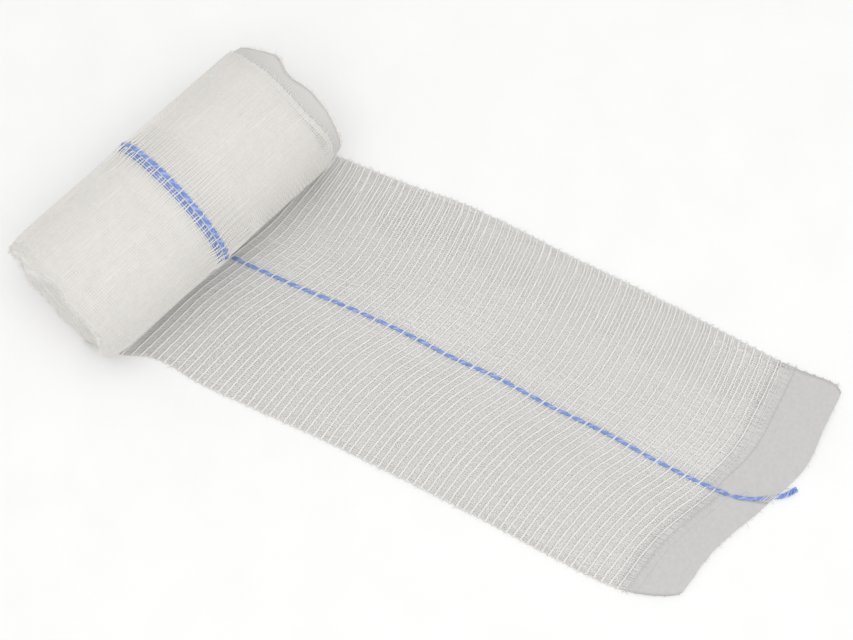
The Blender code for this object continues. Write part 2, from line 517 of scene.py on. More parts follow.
def ease(share):
    """Rise smoothly from 0 to 1."""
    share = np.clip(share, 0.0, 1.0)
    return share * share * (3.0 - 2.0 * share)


def running_total(steps):
    """Sum of the steps up to each place, starting from 0."""
    return np.concatenate(((0.0,), np.cumsum(steps)))


def side_reach(across, near, far):
    """Distance from the marker line, given the reach of the two edges."""
    return np.where(across < 1.0, -near * (1.0 - across), far * (across - 1.0))


def marker_line(along):
    """Where the marker thread runs across the tail."""
    start = BAND_WIDTH * (TAIL_TABLE[0][2] - TAIL_TABLE[0][3]) / 2.0
    return start + TAIL_SWING * reading(TAIL_TABLE, 1, along)


LEAN_STEPS = np.linspace(0.0, 2.0, 401)


def lean_totals(column):
    """Running total of a lean column across the band, counted from the marker line."""
    lean = reading(LEAN_TABLE, column, LEAN_STEPS)
    stretch = np.where(LEAN_STEPS < 1.0, *MEAN_REACH) * BAND_WIDTH
    total = running_total((lean * stretch)[:-1] * np.diff(LEAN_STEPS))
    return total - np.interp(1.0, LEAN_STEPS, total)


LEAN_ON_TAIL = lean_totals(1)
LEAN_BY_ROLL = lean_totals(2)
MARKER_SETBACK = float(reading(WIDTH_TABLE, 2, 1.0)) * CUT_END_SETBACK
TAIL_END = TAIL_REACH - MARKER_SETBACK


def weft_shift(distance, across):
    """How far a weft has moved along the band from its place on the marker line."""
    away = ease((distance - LEAN_GROWS_FROM) / LEAN_GROWS_OVER)
    start = ease(distance / LEAN_STARTS_OVER)
    on_tail = np.interp(across, LEAN_STEPS, LEAN_ON_TAIL)
    by_roll = np.interp(across, LEAN_STEPS, LEAN_BY_ROLL)
    woven = start * (by_roll + (on_tail - by_roll) * away)
    at_cut = MARKER_SETBACK - reading(WIDTH_TABLE, 2, across) * CUT_END_SETBACK
    near_cut = ease((distance - (TAIL_END - CUT_LINE_FROM)) / CUT_LINE_RUN)
    return woven + (at_cut - woven) * near_cut


def closing(side, distance):
    """How far the weave has closed up towards the cut end, from 0 to 1."""
    return ease((distance - TAIL_END + CLOSING_FROM[side]) / CLOSING_RUN)


def closed_shade_share(closed):
    """How far the closed end's painted shade has come in, from 0 to 1."""
    return ease((closed - CLOSED_SHADE_FROM) / CLOSED_SHADE_RUN)


def tail_points(distance, across):
    """Points of the tail's middle surface, about the roll's place on the table."""
    x = distance + weft_shift(distance, across)
    setback = reading(WIDTH_TABLE, 2, across) * CUT_END_SETBACK
    unsheared = x
    for _ in range(4):
        unsheared = x + setback * ease(unsheared / TAIL_REACH)
    along = unsheared / TAIL_REACH
    near = reading(TAIL_TABLE, 2, along) * BAND_WIDTH
    far = reading(TAIL_TABLE, 3, along) * BAND_WIDTH
    near_corner = np.clip(1.0 - (TAIL_REACH - unsheared) / NEAR_CORNER_RUN, 0.0, 1.0)
    far_corner = np.clip(1.0 - (TAIL_REACH - unsheared) / FAR_CORNER_RUN, 0.0, 1.0)
    near_inset = NEAR_CORNER_INSET * (1.0 - np.sqrt(1.0 - near_corner**2))
    far_inset = FAR_CORNER_INSET * (1.0 - np.sqrt(1.0 - far_corner**2))
    far_inset = far_inset + FAR_EDGE_TRIM * ease(along / 0.5)
    y = marker_line(along) + side_reach(across, near - near_inset, far - far_inset)
    y = y + reading(MARKER_TABLE, 1, distance) * np.exp(-(((across - 1.0) / MARKER_PULL) ** 2))
    rise = ease((unsheared - FLAT_UNDER_ROLL) / FLAT_UNDER_ROLL)
    wave = reading(TAIL_TABLE, 4, along) * reading(WIDTH_TABLE, 1, across)
    z = LAY_HEIGHT + SWELL_HEIGHT * np.maximum(wave, 0.0) * rise
    return np.stack((x, y, z), axis=-1)


def dents(table, x, z):
    """Depth of all the dents of a table at a place on an end of the roll."""
    total = 0.0
    for dent_x, dent_z, width, depth in table:
        away = ((x - dent_x) ** 2 + (z - dent_z) ** 2) / width**2
        total = total + depth * np.exp(-away)
    return total


def folds(seed, x, z):
    """Crumpling of a soft end of the roll, the same for every turn that passes a place."""
    chance = np.random.default_rng(seed)
    total = np.zeros(np.broadcast(x, z).shape)
    for wavelength in FOLD_WAVELENGTHS:
        heading = chance.uniform(0.0, math.pi)
        phase = chance.uniform(0.0, FULL_TURN)
        place = x * math.cos(heading) + z * math.sin(heading)
        total = total + np.sin(FULL_TURN * place / wavelength + phase) * wavelength * FOLD_STEEPNESS
    return total


def rims(angle, radius):
    """Reach of the near and far rims of the turn at an angle wound from the table."""
    depth = (OUTER_TURN_RADIUS - radius) / (OUTER_TURN_RADIUS - CORE_RADIUS)
    settled = ease(angle / RIM_SETTLES_OVER)
    under = ease((angle - GOES_UNDER_AT) / GOES_UNDER_OVER)
    x = -radius * np.sin(angle)
    z = AXIS_HEIGHT - radius * np.cos(angle)
    near_dents = dents(NEAR_DENTS, x, z) - folds(FOLD_SEEDS[0], x, z)
    far_dents = dents(FAR_DENTS, x, z) - FAR_FOLD_SHARE * folds(FOLD_SEEDS[1], x, z)
    near_wound = reading(RIM_TABLE, 1, depth) + wander(RIM_SEEDS[0], angle, *RIM_WANDER) - near_dents
    far_wound = reading(RIM_TABLE, 2, depth) + wander(RIM_SEEDS[1], angle, *RIM_WANDER) - far_dents
    near_outer = OUTER_RIM_NEAR + wander(OUTER_RIM_SEEDS[0], angle, *OUTER_NEAR_WANDER) - near_dents
    far_outer = OUTER_RIM_FAR + wander(OUTER_RIM_SEEDS[1], angle, *OUTER_FAR_WANDER)
    far_outer = far_outer - dents(OUTER_FAR_DENTS, x, z)
    near = near_outer + (near_wound - near_outer) * under
    far = far_outer + (far_wound - far_outer) * under
    near = TAIL_TABLE[0][2] * BAND_WIDTH + near * settled
    far = TAIL_TABLE[0][3] * BAND_WIDTH + far * settled
    return near, far


def lumps(seed, angle):
    """Lumps that every turn shares, so that none of them crosses the next."""
    chance = np.random.default_rng(seed)
    total = np.zeros_like(angle, dtype=float)
    for times in LUMP_HARMONICS:
        total += np.sin(times * angle + chance.uniform(0.0, FULL_TURN)) * LUMP_HEIGHT / times
    return total


def squeeze(angle, side):
    """How much the roll narrows towards its two soft ends."""
    from_near = TAIL_TABLE[0][2] * BAND_WIDTH + RIM_TABLE[1][1] + side
    from_far = TAIL_TABLE[0][3] * BAND_WIDTH + RIM_TABLE[1][2] - side
    near_drop = NEAR_SHOULDER_DROP + SHOULDER_LUMPS * lumps(LUMP_SEEDS[0], angle)
    far_drop = FAR_SHOULDER_DROP + SHOULDER_LUMPS * lumps(LUMP_SEEDS[1], angle)
    near = np.clip(1.0 - from_near / SHOULDER_WIDTH, 0.0, SHOULDER_MOST) ** 2 * near_drop
    far = np.clip(1.0 - from_far / SHOULDER_WIDTH, 0.0, SHOULDER_MOST) ** 2 * far_drop
    started = ease(angle / SHOULDER_STARTS_OVER)
    return 1.0 - (near + far) * started / (OUTER_TURN_RADIUS - CORE_RADIUS)


def wound_points(angle, radius, side):
    """Points on a turn of the roll, side being the distance along it from the marker."""
    squeezed = CORE_RADIUS + (radius - CORE_RADIUS) * squeeze(angle, side)
    x = -squeezed * np.sin(angle)
    z = AXIS_HEIGHT - squeezed * np.cos(angle)
    return np.stack(np.broadcast_arrays(x, marker_line(0.0) + side, z), axis=-1)


def turn_radius(angle):
    """Radius of the spiral at an angle wound from the table."""
    return OUTER_TURN_RADIUS - LAYER_PITCH * angle / FULL_TURN


def roll_points(wound, across):
    """Points of the outermost turn, where wound is the length of band from the table."""
    angle = wound / OUTER_TURN_RADIUS
    radius = turn_radius(angle)
    near, far = rims(angle, radius)
    return wound_points(angle, radius, side_reach(across, near, far))


def band_points(distance, across):
    """Points of the band's middle surface, out on the tail or back round the roll."""
    distance, across = np.broadcast_arrays(distance, across)
    on_tail = tail_points(np.maximum(distance, 0.0), across)
    on_roll = roll_points(np.maximum(-distance, 0.0), across)
    return np.where((distance > 0.0)[..., None], on_tail, on_roll)


def unit(vectors):
    """The same vectors, each of length one."""
    length = np.linalg.norm(vectors, axis=-1, keepdims=True)
    return vectors / np.maximum(length, 1e-12)


def band_normals(distance, across):
    """The upper side of the tail, which is the inner side of the roll."""
    step = 0.0002
    share = 0.005
    forward = band_points(distance + step, across) - band_points(distance - step, across)
    sideways = band_points(distance, across + share) - band_points(distance, across - share)
    return unit(np.cross(forward, sideways))


def woven_path(distance, across, height):
    """A thread's centre line and normals, lifted off the band's middle surface."""
    normals = band_normals(distance, across)
    return band_points(distance, across) + normals * height[:, None], normals


def wander(seed, at, wavelength, size):
    """A smooth, irregular wobble along a thread."""
    chance = np.random.default_rng(seed)
    total = np.zeros_like(at, dtype=float)
    for harmonic in WANDER_HARMONICS:
        phase = chance.uniform(0.0, FULL_TURN)
        total += np.sin(FULL_TURN * at * harmonic / wavelength + phase) / harmonic
    return total * size / WANDER_PEAK


def length_along(centre):
    """Length of a line up to each of its points."""
    return running_total(np.linalg.norm(np.diff(centre, axis=0), axis=1))


def directions_along(centre, normals):
    """Directions aside and up at each point of a line."""
    tangent = unit(np.gradient(centre, axis=0))
    side = unit(np.cross(tangent, normals))
    return side, np.cross(side, tangent)


def new_object(name, data):
    """An object with its data, put into the scene."""
    obj = bpy.data.objects.new(name, data)
    bpy.context.scene.collection.objects.link(obj)
    return obj


class ThreadMesh:
    """Round threads collected into one mesh, with a UV map along and around each."""

    def __init__(self):
        self.corners = []
        self.faces = []
        self.face_slots = []
        self.uvs = []
        self.closed = []
        self.count = 0

    def add(self, centre, normals, radius, slot=0, flatten=1.0, sides=THREAD_SIDES, closed=0.0):
        """One thread along its centre line."""
        rings = len(centre)
        self.closed.append(np.repeat(np.broadcast_to(closed, (rings,)), sides))
        side, normal = directions_along(centre, normals)
        turn = FULL_TURN * np.arange(sides) / sides
        radius = np.broadcast_to(radius, (rings,))[:, None, None]
        around = np.cos(turn)[None, :, None] * side[:, None, :]
        around = around + flatten * np.sin(turn)[None, :, None] * normal[:, None, :]
        self.corners.append((centre[:, None, :] + around * radius).reshape(-1, 3))
        ring = np.arange(rings - 1)[:, None] * sides + self.count
        here = np.arange(sides)[None, :]
        after = (here + 1) % sides
        quads = np.stack((ring + here, ring + after, ring + sides + after, ring + sides + here), -1)
        self.faces.append(quads.reshape(-1, 4))
        self.face_slots.append(np.full((rings - 1) * sides, slot))
        run = length_along(centre)
        u = np.stack((run[:-1], run[:-1], run[1:], run[1:]), -1)[:, None, :]
        v = np.stack((here[0], here[0] + 1, here[0] + 1, here[0]), -1)[None, :, :] / sides
        u, v = np.broadcast_arrays(u, v)
        self.uvs.append(np.stack((u, v), -1).reshape(-1, 2))
        self.add_caps(sides, rings, slot)
        self.count += rings * sides

    def add_caps(self, sides, rings, slot):
        """Close both ends with a quad, or a fan of quads on a rounder thread."""
        first = self.count + np.arange(sides)
        last = first + (rings - 1) * sides
        for ring in (first[::-1], last):
            for start in range(0, sides - 2, 2):
                quad = (ring[0], ring[start + 1], ring[start + 2], ring[(start + 3) % sides])
                self.faces.append(np.array([quad]))
                self.face_slots.append(np.array([slot]))
                self.uvs.append(np.zeros((4, 2)))

    def add_sheet(self, middle, normals, thickness, slot, closed=0.0):
        """A thin closed sheet over a grid of points."""
        rows, columns = middle.shape[:2]
        self.closed.append(np.tile(np.broadcast_to(closed, (rows, columns)).ravel(), 2))
        lift = normals * thickness / 2.0
        upper = (middle + lift).reshape(-1, 3)
        lower = (middle - lift).reshape(-1, 3)
        self.corners.append(np.concatenate((upper, lower)))
        grid = self.count + np.arange(rows * columns).reshape(rows, columns)
        under = grid + rows * columns
        top = np.stack((grid[:-1, :-1], grid[:-1, 1:], grid[1:, 1:], grid[1:, :-1]), -1)
        bottom = np.stack((under[:-1, :-1], under[1:, :-1], under[1:, 1:], under[:-1, 1:]), -1)
        loop = np.concatenate((grid[0, :-1], grid[:-1, -1], grid[-1, :0:-1], grid[:0:-1, 0]))
        onward = np.roll(loop, -1)
        below = loop + rows * columns
        rim = np.stack((loop, below, np.roll(below, -1), onward), -1)
        quads = np.concatenate((top.reshape(-1, 4), bottom.reshape(-1, 4), rim))
        self.faces.append(quads)
        self.face_slots.append(np.full(len(quads), slot))
        places = np.concatenate((upper, lower))
        self.uvs.append(places[quads.ravel() - self.count][:, :2])
        self.count += 2 * rows * columns

    def build(self, name, materials):
        """The finished object, with the share of the closed end's painted shade at each corner."""
        corners = np.concatenate(self.corners) + ROLL_PLACE
        faces = np.concatenate(self.faces)
        mesh = bpy.data.meshes.new(name)
        mesh.vertices.add(len(corners))
        mesh.vertices.foreach_set("co", corners.ravel())
        mesh.loops.add(faces.size)
        mesh.loops.foreach_set("vertex_index", faces.ravel())
        mesh.polygons.add(len(faces))
        mesh.polygons.foreach_set("loop_start", np.arange(0, faces.size, 4))
        mesh.polygons.foreach_set("material_index", np.concatenate(self.face_slots))
        layer = mesh.uv_layers.new(name="thread")
        layer.data.foreach_set("uv", np.concatenate(self.uvs).ravel())
        fade = mesh.attributes.new("closed", "FLOAT", "POINT")
        fade.data.foreach_set("value", np.concatenate(self.closed))
        for material in materials:
            mesh.materials.append(material)
        mesh.update(calc_edges=True)
        mesh.validate()
        mesh.shade_smooth()
        return new_object(name, mesh)


# Materials


def add_node(material, kind, sockets=None, **settings):
    """A new node with its settings, and with values on its sockets by their names."""
    node = material.node_tree.nodes.new(kind)
    for key, value in settings.items():
        setattr(node, key, value)
    for key, value in (sockets or {}).items():
        node.inputs[key].default_value = value
    return node


def add_bump(material, shader, height, strength, distance):
    """Relief from a pattern."""
    bump = add_node(material, "ShaderNodeBump", {"Strength": strength, "Distance": distance})
    material.node_tree.links.new(height, bump.inputs["Height"])
    material.node_tree.links.new(bump.outputs["Normal"], shader.inputs["Normal"])


def add_multiply(material, shader):
    """A step that multiplies the base colour."""
    links = material.node_tree.links
    source = shader.inputs["Base Color"].links[0].from_socket
    mix = add_node(material, "ShaderNodeMix", data_type="RGBA", blend_type="MULTIPLY")
    links.new(source, mix.inputs["A"])
    links.new(mix.outputs["Result"], shader.inputs["Base Color"])
    return mix


def new_material(name, roughness, sheen):
    """A soft, dull material and its shader."""
    material = bpy.data.materials.new(name)
    material.use_nodes = True
    shader = material.node_tree.nodes["Principled BSDF"]
    shader.inputs["Roughness"].default_value = roughness
    shader.inputs["Sheen Weight"].default_value = sheen
    shader.inputs["Sheen Roughness"].default_value = SHEEN_ROUGHNESS
    shader.inputs["Specular IOR Level"].default_value = SPECULAR_LEVEL
    return material, shader


def two_tones(material, shader, source, span, dark, light):
    """Run a texture through a ramp between two tones into the base colour."""
    ramp = add_node(material, "ShaderNodeValToRGB")
    for stop, place, tone in zip(ramp.color_ramp.elements, span, (dark, light)):
        stop.position = place
        stop.color = (*tone, 1.0)
    links = material.node_tree.links
    links.new(source, ramp.inputs["Fac"])
    links.new(ramp.outputs["Color"], shader.inputs["Base Color"])


def paint_closed_end_shade(material, shader):
    """Painted shade: darken the base colour where the weave has closed up, in place of the shaded table
    seen through the open weave.
    """
    closed = add_node(material, "ShaderNodeAttribute", attribute_name="closed")
    mix = add_multiply(material, shader)
    mix.inputs["B"].default_value = (*CLOSED_END_PAINTED_SHADE, 1.0)
    material.node_tree.links.new(closed.outputs["Fac"], mix.inputs["Factor"])


def yarn_material(name, dark, light, sheen=GAUZE_SHEEN, painted_closed_shade=False):
    """Soft spun yarn: patchy tone along the thread and the twist of its fibres."""
    material, shader = new_material(name, CLOTH_ROUGHNESS, sheen)
    links = material.node_tree.links
    place = add_node(material, "ShaderNodeTexCoord")
    patches = add_node(material, "ShaderNodeTexNoise", {"Scale": 900.0, "Detail": 3.0})
    links.new(place.outputs["Object"], patches.inputs["Vector"])
    two_tones(material, shader, patches.outputs["Fac"], (0.3, 0.7), dark, light)
    # painted shade on the tail's closed end
    if painted_closed_shade:
        paint_closed_end_shade(material, shader)
    stretch = add_node(material, "ShaderNodeMapping", {"Scale": (1400.0, 1.0, 1.0)})
    links.new(place.outputs["UV"], stretch.inputs["Vector"])
    sockets = {"Scale": 0.6, "Distortion": 1.5}
    twist = add_node(material, "ShaderNodeTexWave", sockets, bands_direction="DIAGONAL")
    links.new(stretch.outputs["Vector"], twist.inputs["Vector"])
    add_bump(material, shader, twist.outputs["Fac"], *YARN_BUMP)
    return material


def tint_and_shade_across_roll(material, shader, uv):
    """Multiply the base colour by a tint that changes along the roll's axis, with painted shade on the
    far strip.
    """
    links = material.node_tree.links
    parts = add_node(material, "ShaderNodeSeparateXYZ")
    links.new(uv, parts.inputs["Vector"])
    limits = {"From Min": -TINT_SPAN, "From Max": TINT_SPAN}
    span = add_node(material, "ShaderNodeMapRange", limits)
    links.new(parts.outputs["Y"], span.inputs["Value"])
    tint = add_node(material, "ShaderNodeValToRGB")
    stops = tint.color_ramp.elements
    for number, (side, *colour) in enumerate(LAYER_TINTS_AND_SHADE):
        place = (side + TINT_SPAN) / (2.0 * TINT_SPAN)
        if 0 < number < len(LAYER_TINTS_AND_SHADE) - 1:
            stop = stops.new(place)
        else:
            stop = stops[min(number, len(stops) - 1)]
        stop.position = place
        stop.color = (*colour, 1.0)
    links.new(span.outputs["Result"], tint.inputs["Fac"])
    mix = add_multiply(material, shader)
    mix.inputs["Factor"].default_value = 1.0
    links.new(tint.outputs["Color"], mix.inputs["B"])


def layered_gauze_material(name):
    """Gauze seen layer on layer: faint crossing yarns over a soft even white."""
    material, shader = new_material(name, CLOTH_ROUGHNESS, LAYER_SHEEN)
    links = material.node_tree.links
    place = add_node(material, "ShaderNodeTexCoord")
    cross = add_node(material, "ShaderNodeMath", operation="MAXIMUM")
    for number, (direction, period) in enumerate((("X", WEFT_PITCH_ROLL / 3.0), ("Y", LAYER_WARP_PITCH))):
        sockets = {"Scale": FULL_TURN / (WAVE_UNITS * period), "Distortion": 2.5}
        sockets.update({"Detail": 2.0, "Detail Scale": 1.5})
        lines = add_node(material, "ShaderNodeTexWave", sockets, bands_direction=direction)
        links.new(place.outputs["UV"], lines.inputs["Vector"])
        links.new(lines.outputs["Fac"], cross.inputs[number])
    two_tones(material, shader, cross.outputs["Value"], (0.2, 0.9), *LAYER_TONES)
    tint_and_shade_across_roll(material, shader, place.outputs["UV"])
    add_bump(material, shader, cross.outputs["Value"], *LAYER_BUMP)
    return material


def floor_material():
    """A plain pale table."""
    material, shader = new_material("pale_table", TABLE_ROUGHNESS, 0.0)
    place = add_node(material, "ShaderNodeTexCoord")
    grain = add_node(material, "ShaderNodeTexNoise", {"Scale": 60.0})
    material.node_tree.links.new(place.outputs["Object"], grain.inputs["Vector"])
    two_tones(material, shader, grain.outputs["Fac"], (0.3, 0.7), *TABLE_TONES)
    return material


# The weave


def warp_places():
    """Across-positions of the warps on each side, marker outwards, denser at the edge."""
    sides = []
    for count, edge in zip((NEAR_WARPS, FAR_WARPS), EDGES):
        steps = np.arange(1, count + 1, dtype=float)
        close = np.arange(1, SELVEDGE_WARPS + 1) * SELVEDGE_SPACING
        steps[-SELVEDGE_WARPS:] = count - SELVEDGE_WARPS + close
        shares = steps / steps[-1]
        sides.append(1.0 + (edge - 1.0) * shares)
    return sides


def weft_places():
    """Distances of the wefts along the band, from the cut end back round the roll."""
    tail = [TAIL_END - LAST_WEFT_SHORT]
    while tail[-1] > WEFT_PITCH:
        tail.append(tail[-1] - WEFT_PITCH)
    count = int(FULL_TURN * OUTER_TURN_RADIUS / WEFT_PITCH_ROLL)
    roll = [tail[-1] - WEFT_PITCH_ROLL * (step + 1) for step in range(count)]
    return np.array(tail), np.array(roll)


def rib_height(across):
    """How deep the wefts of the roll sink, away from the ribs beside the marker."""
    beside = np.exp(-(((across - RIB_MIDDLE) / RIB_REACH) ** 2))
    return RIB_SINK * (1.0 - beside)


def crossing_on_roll(height, side, under, off_table):
    """Lift a weft over the thick marker or lay it under, and over the thinner ones."""
    beside, settling_warp, settling = CROSSING_TABLE[side]
    height[0] = CROSSING_ON_ROLL if under else -CROSSING_ON_ROLL * off_table
    height[1] = UNDER_BESIDE if under else -CROSSING_ON_ROLL * beside * off_table
    height[settling_warp] = -BESIDE_ON_ROLL * settling * off_table
    return height


def weft_height(place, number, side, across, closed, depth):
    """How far a weft lies off the band's middle surface at each warp."""
    height = np.where((number + np.arange(len(across))) % 2 == 0, 1.0, -1.0) * WEFT_WAVE
    even = number % 2 == 0
    if place > 0.0:
        height = (height + WEFT_LIFT) * (1.0 - closed)
        height[0] = OVER_MARKER if even else -UNDER_MARKER
        return height
    height = height - WEFT_LIFT + rib_height(across) + depth
    over_thin = (side == 0) & (across > 1.0 - INNER_MARKER_SPREAD / HALF_WIDTH)
    off_table = float(ease(-place / LEAVING_TABLE))
    height = np.where(over_thin, -BESIDE_ON_ROLL * off_table, height)
    if across[0] == 1.0:
        height = crossing_on_roll(height, side, even, off_table)
    return height


def weft_thickness(place, number, across, closed):
    """A weft's radius at each warp."""
    calm = 1.0 - CLOSED_CALM * closed
    swelling = 1.0 + wander(WEFT_SWELLING_SEED + number, across, WEFT_UNEVEN_LENGTH, WEFT_UNEVEN * calm)
    radius = ROLL_WEFT_RADIUS
    if place > 0.0:
        radius = WEFT_RADIUS + (CUT_WEFT_RADIUS - WEFT_RADIUS) * closed
        swelling = swelling + NEAR_EDGE_SWELLING * np.clip(1.0 - across, 0.0, 1.0) * (1.0 - closed)
    swelling[-1] = STUB_TAPER
    return radius * swelling


def add_wefts(threads, wefts, first_index, side, places, slot, slack=1.0, depth=0.0, start=1.0):
    """Wefts on one side of the marker, each ending in a short stub past the selvedge."""
    stub = EDGE_STUB / HALF_WIDTH
    across = np.concatenate(((start,), places, (EDGES[side] + OUTWARD[side] * stub,)))
    chance = np.random.default_rng(WEFT_SEED + side)
    for member, place in enumerate(wefts):
        number = first_index + member
        closed = float(closing(side, place))
        height = weft_height(place, number, side, across, closed, depth)
        calm = 1.0 - CLOSED_CALM * closed
        seed = WEFT_WANDER_SEED + number
        wobble = wander(seed, across, WEFT_WANDER_LENGTH, WEFT_WANDER * slack * calm)
        wobble = wobble + chance.normal(0.0, WEFT_JITTER * calm, len(across))
        distance = place + wobble - wobble[0]
        distance[-1] += STUB_WANDER * math.sin(STUB_TURN * number)
        path = woven_path(distance, across, height)
        radius = weft_thickness(place, number, across, closed)
        threads.add(*path, radius, slot, closed=closed_shade_share(closed))


def add_warps(threads, wefts, first_index, side, places, slot, wave=WARP_WAVE, radius=WARP_RADIUS):
    """Warps on one side of the marker, over one weft and under the next."""
    chance = np.random.default_rng(WARP_SEED)
    distance = np.empty(2 * len(wefts) - 1)
    distance[0::2] = wefts
    distance[1::2] = (wefts[:-1] + wefts[1:]) / 2.0
    for order, across_at in enumerate(places):
        parity = (first_index + np.arange(len(wefts)) + order + 1) % 2
        height = np.zeros_like(distance)
        height[0::2] = np.where(parity == 0, -1.0, 1.0) * wave
        closed = closing(side, distance + chance.uniform(-WARP_CLOSING_SHIFT, WARP_CLOSING_SHIFT))
        height = height * (1.0 - closed) - CLOSED_WARP_DEPTH * closed
        seed = WARP_WANDER_SEED + order * 7 + int(across_at * 10)
        wobble = wander(seed, distance, WARP_WANDER_LENGTH, WARP_WANDER / HALF_WIDTH)
        straight = order >= len(places) - SELVEDGE_WARPS
        path = woven_path(distance, across_at + wobble * (0.0 if straight else 1.0), height)
        thinner = radius * (1.0 - CLOSED_WARP_THINNING * closed)
        threads.add(*path, thinner, slot, closed=closed_shade_share(closed))


def marker_wave(phase):
    """Rises of the marker thread: long rounded floats between short dips."""
    wave = -np.cos(phase * math.pi)
    return np.sign(wave) * np.abs(wave) ** MARKER_FLOAT


def with_loose_end(centre, normals, radius):
    """The tail's marker thread with its loose end, and how thick it is along it."""
    kept = centre[:, 0] < MARKER_LOOSE_FROM
    points = np.concatenate((centre[kept][:1], np.array(MARKER_LOOSE_END)))
    run = np.linspace(0.0, len(points) - 1.0, MARKER_LOOSE_STEPS * len(points))[1:]
    smooth = np.stack([np.interp(run, np.arange(len(points)), points[:, i]) for i in range(3)], -1)
    smooth[1:-1] = (smooth[:-2] + 2.0 * smooth[1:-1] + smooth[2:]) / 4.0
    pinch = np.exp(-(((smooth[:, 0] - MARKER_PINCH_AT) / MARKER_PINCH_RUN) ** 2))
    thickness = radius * (1.0 - MARKER_PINCH * pinch)[::-1]
    centre = np.concatenate((smooth[::-1], centre[kept]))
    normals = np.concatenate((np.tile((0.0, 0.0, 1.0), (len(smooth), 1)), normals[kept]))
    return centre, normals, np.concatenate((thickness, np.full(kept.sum(), radius)))


def add_marker(threads, wefts, first_index, radius, lift, aside=0.0, depth=0.0, loose=False, pale=1):
    """A marker thread along the band: over one weft and under the next."""
    steps = np.arange(0, len(wefts) - 1 + 1e-9, 1.0 / MARKER_STEPS)
    distance = np.interp(steps, np.arange(len(wefts)), wefts)
    wave = marker_wave(first_index + steps)
    across = np.full_like(distance, 1.0) - aside / HALF_WIDTH
    rolled = np.where(distance < 0.0, -1.0, 1.0)
    rise = MARKER_RISE * ease(1.0 + distance / LEAVING_TABLE)
    centre, normals = woven_path(distance, across, lift * wave * rolled + depth + rise)
    thickness = np.full(len(centre), radius)
    if loose:
        centre, normals, thickness = with_loose_end(centre, normals, radius)
    add_plied(threads, centre, normals, thickness, pale)


def add_plied(threads, centre, normals, radius, pale):
    """A soft yarn of a few plies twisted loosely together, one of them in a paler slot."""
    side, normal = directions_along(centre, normals)
    run = length_along(centre)
    frayed = ease((centre[:, :1] - MARKER_FRAY_FROM) / MARKER_FRAY_RUN)
    for ply in range(MARKER_PLIES):
        turn = FULL_TURN * (run / MARKER_TWIST + ply / MARKER_PLIES)[:, None]
        offset = PLY_SPREAD[0] * np.cos(turn) * side + PLY_SPREAD[1] * np.sin(turn) * normal
        offset = offset * (1.0 + MARKER_FRAY_SPREAD * frayed)
        path = centre + offset * radius[:, None]
        slot = pale if ply == MARKER_PALE_PLY else 0
        threads.add(path, normals, radius * PLY_RADIUS, slot, flatten=PLY_FLATTEN, sides=PLY_SIDES)


def add_fibre(threads, chance, start, outward, aside, up, slot, radius=FIBRE_RADIUS):
    """One loose fibre, curling away from a yarn."""
    length = chance.uniform(*FIBRE_LENGTH)
    lean = chance.uniform(*FIBRE_LEAN)
    curl = chance.uniform(*FIBRE_CURL)
    rise = chance.uniform(*FIBRE_RISE)
    t = np.linspace(FIBRE_ROOT, 1.0, FIBRE_RINGS)[:, None]
    path = start + length * t * outward + length * (lean * t + curl * t * t) * aside
    path = path + length * rise * np.abs(t) * up
    normals = np.tile(unit(up + 0.01 * aside), (len(path), 1))
    threads.add(path, normals, radius * np.linspace(1.0, FIBRE_TIP, FIBRE_RINGS), slot)


def edge_fibres(threads, side, slot):
    """Loose fibres along one edge of the tail and its half of the cut end."""
    chance = np.random.default_rng(EDGE_FIBRE_SEED + side)
    up = np.array((0.0, 0.0, 1.0))
    count = EDGE_FIBRES[side]
    edge = np.full(count, EDGES[side])
    places = chance.uniform(EDGE_FIBRES_FROM, TAIL_END - EDGE_FIBRES_SHORT, count)
    starts = band_points(places, edge)
    ahead = unit(band_points(places + LOOK_AHEAD, edge) - starts)
    outward = np.cross(ahead, up) * -OUTWARD[side]
    for start, out, along in zip(starts, outward, ahead):
        add_fibre(threads, chance, start, out, along, up, slot)
    shares = chance.uniform(CUT_FIBRES_FROM, 1.0, CUT_FIBRES)
    across = shares if side == 0 else 2.0 - shares
    starts = band_points(np.full(CUT_FIBRES, TAIL_END), across)
    behind = band_points(np.full(CUT_FIBRES, TAIL_END - LOOK_AHEAD), across)
    for start, out in zip(starts, unit(starts - behind)):
        add_fibre(threads, chance, start, out, np.cross(up, out), up, slot)


def rim_fibres(threads):
    """Loose fibres on the rims of the roll's outer turns, at both ends."""
    chance = np.random.default_rng(RIM_FIBRE_SEED)
    for turn, count in RIM_FIBRES:
        angle = FULL_TURN * (turn + chance.uniform(*RIM_FIBRE_SPAN, count))
        radius = turn_radius(angle)
        near, far = rims(angle, radius)
        for reach, outward in ((-near, -1.0), (far, 1.0)):
            starts = wound_points(angle, radius, reach)
            for start, at in zip(starts, angle):
                up = np.array((-math.sin(at), 0.0, -math.cos(at)))
                aside = np.array((-math.cos(at), 0.0, math.sin(at)))
                away = np.array((0.0, outward, 0.0))
                add_fibre(threads, chance, start, away, aside, up, 0, RIM_FIBRE_RADIUS)


def finished(obj):
    """The piece, riding on the part."""
    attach(obj, "root")
    return obj


